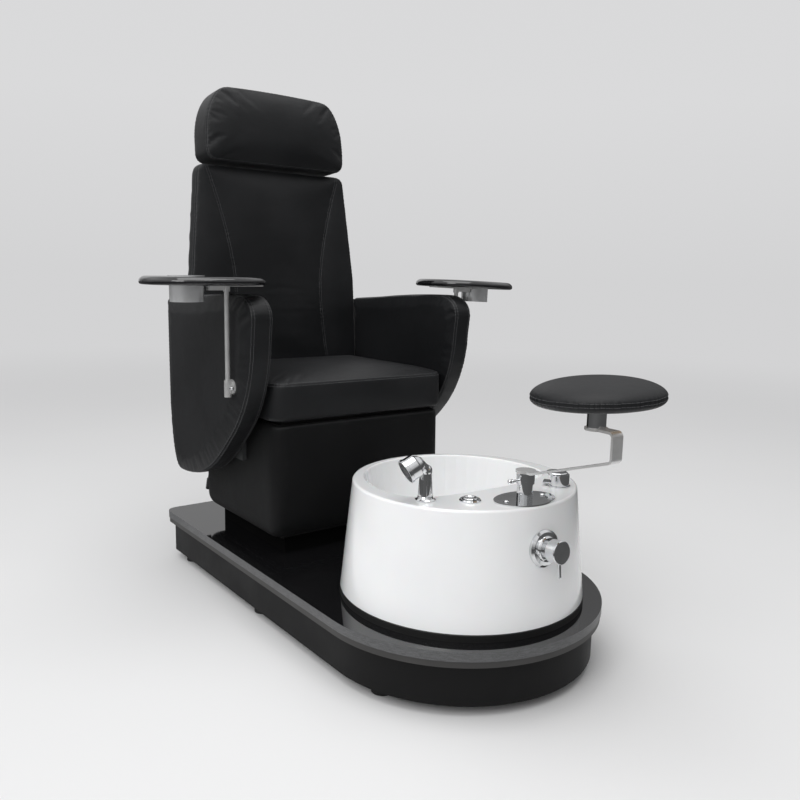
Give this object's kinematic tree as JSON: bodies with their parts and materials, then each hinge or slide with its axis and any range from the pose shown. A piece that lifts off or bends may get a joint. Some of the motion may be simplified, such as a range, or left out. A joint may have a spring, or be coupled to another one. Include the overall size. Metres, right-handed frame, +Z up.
{
  "type": "pedicure spa chair",
  "caption": "Reclining upholstered chair with armrests, swivel trays and cup holders, joined by a platform to a round foot basin with mixer, hand shower and padded footrest.",
  "frame": {"origin": "on the floor, under the middle of the whole chair", "axes": "+Z up, -Y to the front with the basin and footrest, +X to the left-hand side of someone sitting in the chair"},
  "size_m": [1.1241, 1.5218, 1.4041],
  "materials": {
    "black_leather": "satin",
    "deck_gloss": "gloss",
    "deck_edge": "satin",
    "skirt_black": "matt",
    "white_acrylic": "gloss",
    "chrome": "polished",
    "brushed": "brushed",
    "cup_metal": "polished",
    "tray_gloss": "gloss",
    "dark_steel": "satin",
    "plywood": "plain",
    "pipe_plastic": "matt",
    "pipe_metal": "plain",
    "black_rubber": "matt",
    "black_plastic": "matt"
  },
  "bodies": {
    "platform": {"foot_pads": "black_rubber", "foot_studs": "brushed", "frame_rails": "dark_steel", "skirt": "skirt_black", "deck_board": "deck_edge", "deck_top": "deck_gloss", "waste_pipe": "pipe_plastic", "water_pipes": "pipe_metal", "tub_ring": "black_rubber", "tub_shell": "white_acrylic", "waste_fitting": "chrome", "drain_bezel": "chrome", "drain_cable": "black_plastic", "mixer_valve": "pipe_metal", "mixer_escutcheon": "chrome", "spout": "chrome", "shower_holder": "chrome", "footrest_post": "chrome", "flange_screws": "chrome", "post_collar": "chrome", "chair_plinth": "black_plastic", "base_carcass": "plywood", "base_cover": "black_leather", "seat_cushion": "black_leather", "arm_mounts": "dark_steel", "left_arm": "black_leather", "right_arm": "black_leather", "rear_brackets": "dark_steel", "hinge_pins": "brushed", "lock_cylinder": "dark_steel", "tray_sockets": "brushed"},
    "backrest": {"back_board": "plywood", "back_frame": "dark_steel", "back_cushion": "black_leather", "back_cover": "black_leather"},
    "headrest": {"headrest_posts": "brushed", "headrest_cushion": "black_leather"},
    "lock_rod": {"lock_rod": "brushed"},
    "recline_lever": {"recline_lever": "black_plastic"},
    "left_tray": {"left_tray_post": "brushed", "left_tray": "tray_gloss", "left_cup": "cup_metal"},
    "right_tray": {"right_tray_post": "brushed", "right_tray": "tray_gloss", "right_cup": "cup_metal"},
    "left_tray_screw": {"left_tray_screw": "chrome"},
    "right_tray_screw": {"right_tray_screw": "chrome"},
    "footrest": {"footrest_arm": "brushed", "pad_hub": "chrome"},
    "pad": {"pad_stem": "brushed", "pad_board": "plywood", "pad_cushion": "black_leather"},
    "collar_screw": {"collar_screw": "chrome"},
    "hub_screw": {"hub_screw": "chrome"},
    "mixer_handle": {"mixer_handle": "chrome"},
    "drain_knob": {"drain_knob": "chrome"},
    "drain_plug": {"drain_plug": "chrome"},
    "hand_shower": {"shower_handle": "chrome", "shower_head": "chrome", "shower_face": "black_plastic"}
  },
  "joints": [
    {"name": "backrest_recline", "type": "hinge", "parent": "platform", "child": "backrest", "pos_m": [0, 0.646, 0.53], "axis": [-1, 0, 0], "range_deg": [0, 28]},
    {"name": "lock_rod_slide", "type": "slide", "parent": "platform", "child": "lock_rod", "axis": [0, -1, 0], "range_m": [0, 0.0322]},
    {"name": "recline_lever_pull", "type": "hinge", "parent": "platform", "child": "recline_lever", "pos_m": [-0.245, 0.593, 0.3], "axis": [1, 0, 0], "range_deg": [0, 20], "stiffness_Nm_per_rad": 0.5},
    {"name": "headrest_height", "type": "slide", "parent": "backrest", "child": "headrest", "axis": [0, 0.0767, 0.9971], "range_m": [0, 0.06]},
    {"name": "left_tray_swivel", "type": "hinge", "parent": "platform", "child": "left_tray", "pos_m": [-0.366, 0.206, 0.6], "axis": [0, 0, 1], "range_deg": [-60, 60]},
    {"name": "right_tray_swivel", "type": "hinge", "parent": "platform", "child": "right_tray", "pos_m": [0.366, 0.206, 0.6], "axis": [0, 0, 1], "range_deg": [-60, 60]},
    {"name": "left_tray_screw_turn", "type": "hinge", "parent": "platform", "child": "left_tray_screw", "pos_m": [-0.366, 0.188, 0.591], "axis": [0, -1, 0], "range_deg": [0, 360]},
    {"name": "right_tray_screw_turn", "type": "hinge", "parent": "platform", "child": "right_tray_screw", "pos_m": [0.366, 0.188, 0.591], "axis": [0, -1, 0], "range_deg": [0, 360]},
    {"name": "footrest_swivel", "type": "hinge", "parent": "platform", "child": "footrest", "pos_m": [-0.00877, -0.46081, 0.45], "axis": [0, 0, 1], "range_deg": [-90, 90]},
    {"name": "collar_screw_turn", "type": "hinge", "parent": "platform", "child": "collar_screw", "pos_m": [-0.03374, -0.45972, 0.457], "axis": [-0.999, 0.0436, 0], "range_deg": [0, 360]},
    {"name": "pad_height", "type": "slide", "parent": "footrest", "child": "pad", "axis": [0, 0, 1], "range_m": [0, 0.015]},
    {"name": "hub_screw_turn", "type": "hinge", "parent": "footrest", "child": "hub_screw", "pos_m": [0.00332, -0.64251, 0.62723], "axis": [0.999, -0.0436, 0], "range_deg": [0, 360]},
    {"name": "mixer_turn", "type": "hinge", "parent": "platform", "child": "mixer_handle", "pos_m": [-0.01285, -0.5543, 0.329], "axis": [-0.0434, -0.9941, 0.0999], "range_deg": [-60, 60]},
    {"name": "drain_knob_turn", "type": "hinge", "parent": "platform", "child": "drain_knob", "pos_m": [-0.1104, -0.40432, 0.415], "axis": [0, 0, 1], "range_deg": [0, 90]},
    {"name": "drain_plug_lift", "type": "slide", "parent": "platform", "child": "drain_plug", "axis": [0, 0, 1], "range_m": [0, 0.01]},
    {"name": "hand_shower_lift", "type": "slide", "parent": "platform", "child": "hand_shower", "axis": [0, 0, 1], "range_m": [0, 0.08]}
  ],
  "couplings": [
    {"joint": "lock_rod_slide", "follows": "backrest_recline", "m_per_rad": 0.06576},
    {"joint": "drain_knob_turn", "follows": "drain_plug_lift", "rad_per_m": 157.07}
  ]
}
